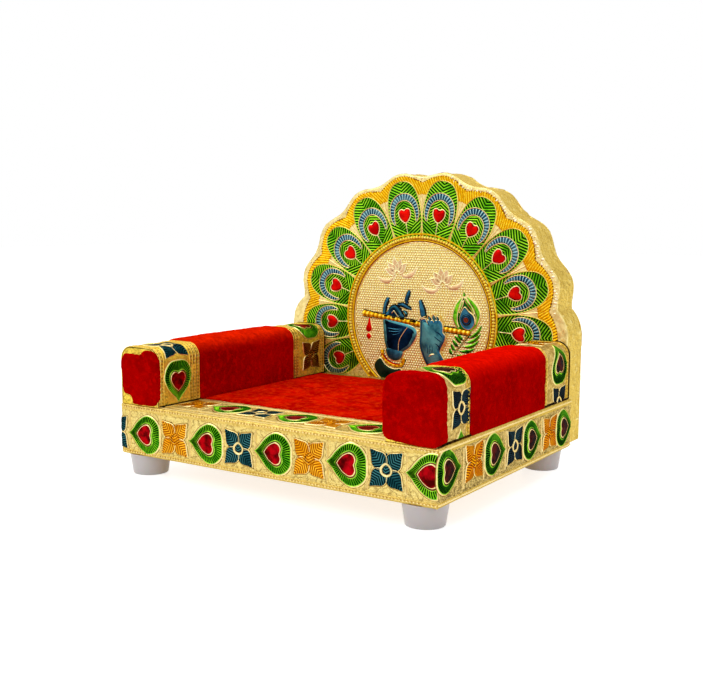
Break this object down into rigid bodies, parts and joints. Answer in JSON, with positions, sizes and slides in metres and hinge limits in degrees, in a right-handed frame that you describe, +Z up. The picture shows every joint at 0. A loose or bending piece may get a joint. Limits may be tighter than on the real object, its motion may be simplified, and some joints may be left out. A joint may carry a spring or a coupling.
{
  "type": "deity simhasan throne",
  "caption": "Small household shrine seat: foil-covered slab on short feet, padded velvet arms and a scalloped back board with a stamped peacock-feather fan.",
  "frame": {"origin": "on the surface it stands on, under the centre of its bounding box", "axes": "+Z up, the open front of the seat faces -Y, +X to the right of someone looking at the front"},
  "size_m": [0.181, 0.1612, 0.1511],
  "materials": {
    "wood_core": "sawn board",
    "enamelled_foil": "gold lacquer, embossed, with green, blue, red and orange enamel",
    "plain_foil": "gold lacquer, hammered",
    "arm_velvet": "short pile",
    "seat_velvet": "short pile",
    "white_plastic": "moulded",
    "screw_steel": "zinc plated",
    "lining_paper": "gold paper"
  },
  "bodies": {
    "root": {"base_board": "wood_core", "base_lining": "lining_paper", "base_foil_front": "enamelled_foil", "base_foil_right": "enamelled_foil", "base_foil_left": "enamelled_foil", "base_foil_top": "enamelled_foil", "base_foil_rear": "enamelled_foil", "seat_velvet": "seat_velvet", "back_board": "wood_core", "back_foil_edge": "plain_foil", "back_cover": "plain_foil", "back_foil_front": "enamelled_foil", "arm_block_left": "wood_core", "arm_foil_front_left": "enamelled_foil", "arm_foil_rear_left": "enamelled_foil", "arm_velvet_left": "arm_velvet", "arm_patch_left": "arm_velvet", "foot_front_left": "white_plastic", "foot_rear_left": "white_plastic", "arm_block_right": "wood_core", "arm_foil_front_right": "enamelled_foil", "arm_foil_rear_right": "enamelled_foil", "arm_velvet_right": "arm_velvet", "arm_patch_right": "arm_velvet", "foot_front_right": "white_plastic", "foot_rear_right": "white_plastic", "foot_screws": "screw_steel", "arm_screws": "screw_steel", "back_screws": "screw_steel"}
  },
  "joints": []
}
